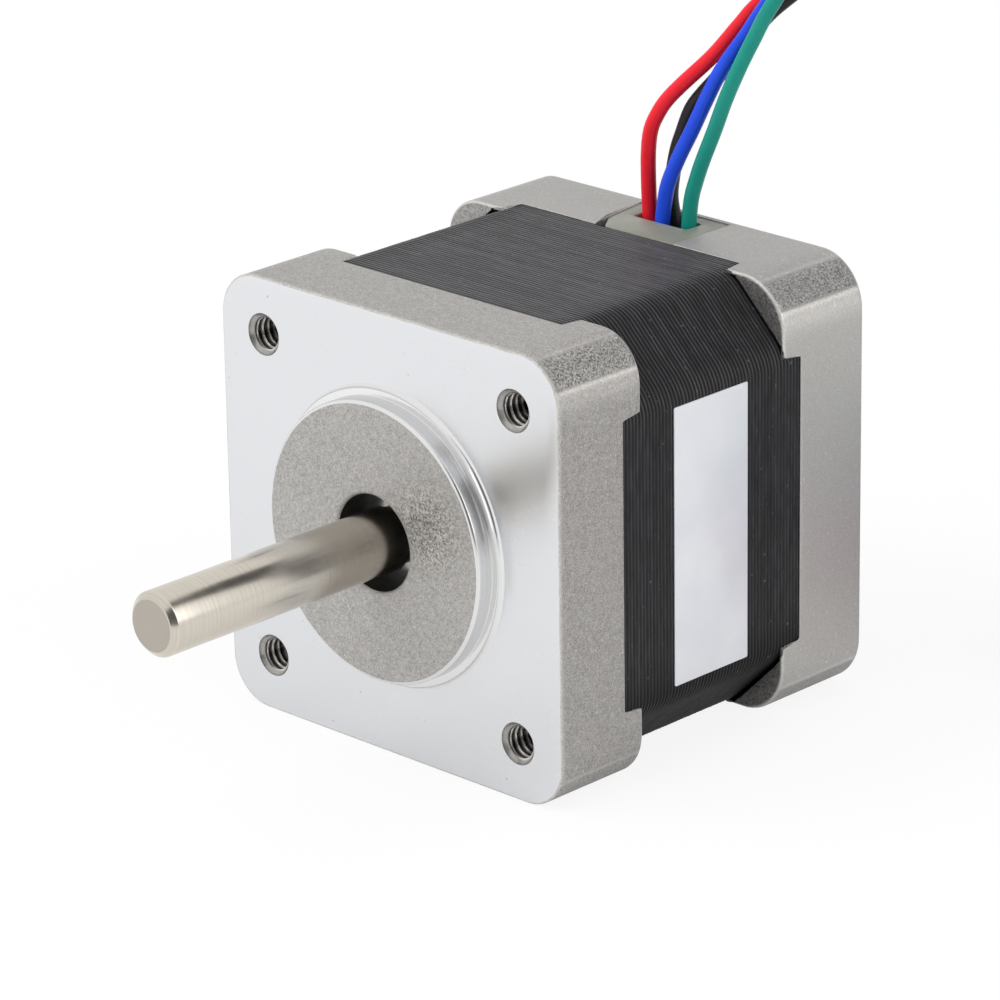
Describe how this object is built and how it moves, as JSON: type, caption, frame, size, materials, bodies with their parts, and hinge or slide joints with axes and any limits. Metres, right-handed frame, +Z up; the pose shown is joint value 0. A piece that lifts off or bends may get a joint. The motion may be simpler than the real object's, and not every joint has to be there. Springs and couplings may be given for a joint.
{
  "type": "stepper motor",
  "caption": "Square hybrid stepper motor with a plain round shaft, centring pilot, corner mounting holes, black laminated stator between cast end bells, and free lead wires.",
  "frame": {"origin": "centre of the mounting face, on the shaft axis, where the centring pilot stands out of the face", "axes": "-Y along the free shaft, out of the mounting face; +X towards the side with the label; +Z up, towards the side where the leads come out"},
  "size_m": [0.0631, 0.0866, 0.062],
  "materials": {
    "bell_front": "machined face and pale cast sides",
    "bell_rear": "cast, satin",
    "core": "blackened laminations",
    "insulator": "moulded",
    "winding": "enamelled copper wire",
    "board": "printed board",
    "solder": "solder",
    "guide": "natural nylon",
    "label": "bare film",
    "screw": "satin",
    "washer": "dull",
    "shaft": "ground, satin",
    "cup": "ground laminations",
    "magnet": "sintered",
    "spacer": "turned",
    "ring": "polished",
    "cage": "pressed",
    "shield": "pressed",
    "lead_black": "soft insulation",
    "lead_red": "soft insulation",
    "lead_blue": "soft insulation",
    "lead_green": "soft insulation",
    "tip": "tinned strands",
    "tie": "flat plastic band"
  },
  "bodies": {
    "housing": {"front_bell": "bell_front", "rear_bell": "bell_rear", "stator_core": "core", "front_insulator": "insulator", "rear_insulator": "insulator", "pole_coil_1": "winding", "pole_coil_2": "winding", "pole_coil_3": "winding", "pole_coil_4": "winding", "pole_coil_5": "winding", "pole_coil_6": "winding", "pole_coil_7": "winding", "pole_coil_8": "winding", "termination_board": "board", "lead_terminals": "solder", "wire_guide": "guide", "label": "label", "through_screws": "screw", "spring_washers": "washer", "wave_washer": "washer", "front_bearing_outer_ring": "ring", "front_bearing_shields": "shield", "rear_bearing_outer_ring": "ring", "rear_bearing_shields": "shield", "lead_black": "lead_black", "lead_coil_black": "lead_black", "lead_tip_black": "tip", "lead_red": "lead_red", "lead_coil_red": "lead_red", "lead_tip_red": "tip", "lead_blue": "lead_blue", "lead_coil_blue": "lead_blue", "lead_tip_blue": "tip", "lead_green": "lead_green", "lead_coil_green": "lead_green", "lead_tip_green": "tip", "coil_ties": "tie"},
    "rotor": {"shaft": "shaft", "front_rotor_cup": "cup", "rotor_magnet": "magnet", "rear_rotor_cup": "cup", "front_spacer": "spacer", "rear_spacer": "spacer", "front_bearing_inner_ring": "ring", "rear_bearing_inner_ring": "ring"},
    "front_cage": {"front_bearing_balls": "ring", "front_bearing_cage": "cage"},
    "rear_cage": {"rear_bearing_balls": "ring", "rear_bearing_cage": "cage"}
  },
  "joints": [
    {"name": "shaft_spin", "type": "hinge", "parent": "housing", "child": "rotor", "pos_m": [0, 0, 0], "axis": [0, -1, 0], "continuous": true},
    {"name": "front_cage_spin", "type": "hinge", "parent": "housing", "child": "front_cage", "pos_m": [0, 0.0028, 0], "axis": [0, -1, 0], "continuous": true},
    {"name": "rear_cage_spin", "type": "hinge", "parent": "housing", "child": "rear_cage", "pos_m": [0, 0.03, 0], "axis": [0, -1, 0], "continuous": true}
  ],
  "couplings": [
    {"joint": "front_cage_spin", "follows": "shaft_spin", "ratio": 0.3889},
    {"joint": "rear_cage_spin", "follows": "shaft_spin", "ratio": 0.3889}
  ]
}
